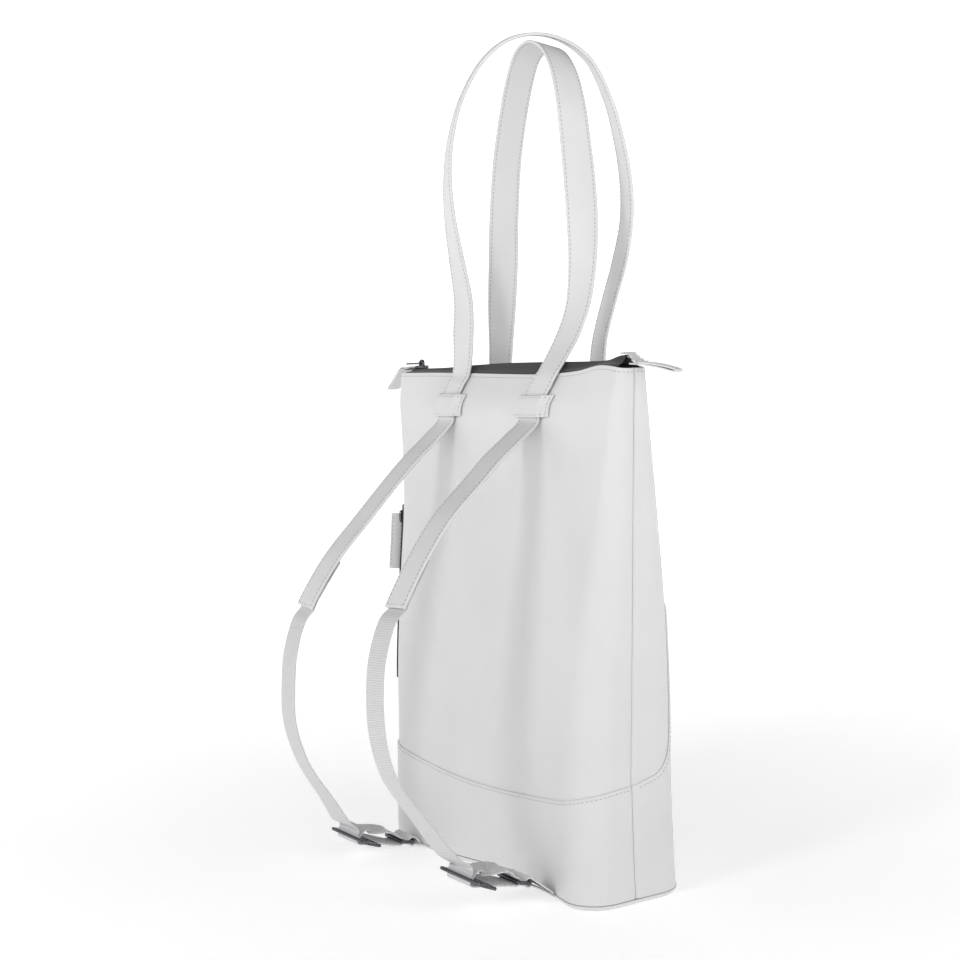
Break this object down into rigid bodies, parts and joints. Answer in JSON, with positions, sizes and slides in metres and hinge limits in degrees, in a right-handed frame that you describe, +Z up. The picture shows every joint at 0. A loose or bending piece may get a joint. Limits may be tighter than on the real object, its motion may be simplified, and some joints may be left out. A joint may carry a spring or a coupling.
{
  "type": "convertible backpack",
  "caption": "Slim upright bag in cream leather with looped top handles that run on as shoulder straps, a dark zip along the mouth and slide buckles at the foot",
  "frame": {"origin": "middle of the base on the floor", "axes": "+Z up, -Y out of the back panel with the shoulder straps, +X towards the right side seam"},
  "size_m": [0.4278, 0.2842, 0.7564],
  "materials": {
    "leather": "smooth satin",
    "zip_tape": "woven",
    "webbing": "ribbed weave",
    "hardware": "polished gunmetal"
  },
  "bodies": {
    "bag": {"back_panel": "leather", "front_panel": "leather", "lower_back": "leather", "front_pocket": "leather", "base_panel": "leather", "zip_tab_left": "leather", "zip_tab_right": "leather", "strap_left": "leather", "strap_right": "leather", "keeper_left": "leather", "keeper_right": "leather", "side_zip_pull": "leather", "base_tab_left": "leather", "base_tab_right": "leather", "zip_tape_back": "zip_tape", "zip_tape_front": "zip_tape", "side_zip": "zip_tape", "webbing_left": "webbing", "webbing_right": "webbing", "zip_slider": "hardware", "side_zip_slider": "hardware", "buckle_left": "hardware", "buckle_right": "hardware", "ring_left": "hardware", "ring_right": "hardware"},
    "puller": {"zip_puller": "hardware"}
  },
  "joints": [
    {"name": "puller_swing", "type": "hinge", "parent": "bag", "child": "puller", "pos_m": [-0.156, 0, 0.45981], "axis": [0, 1, 0], "range_deg": [0, 150]}
  ]
}
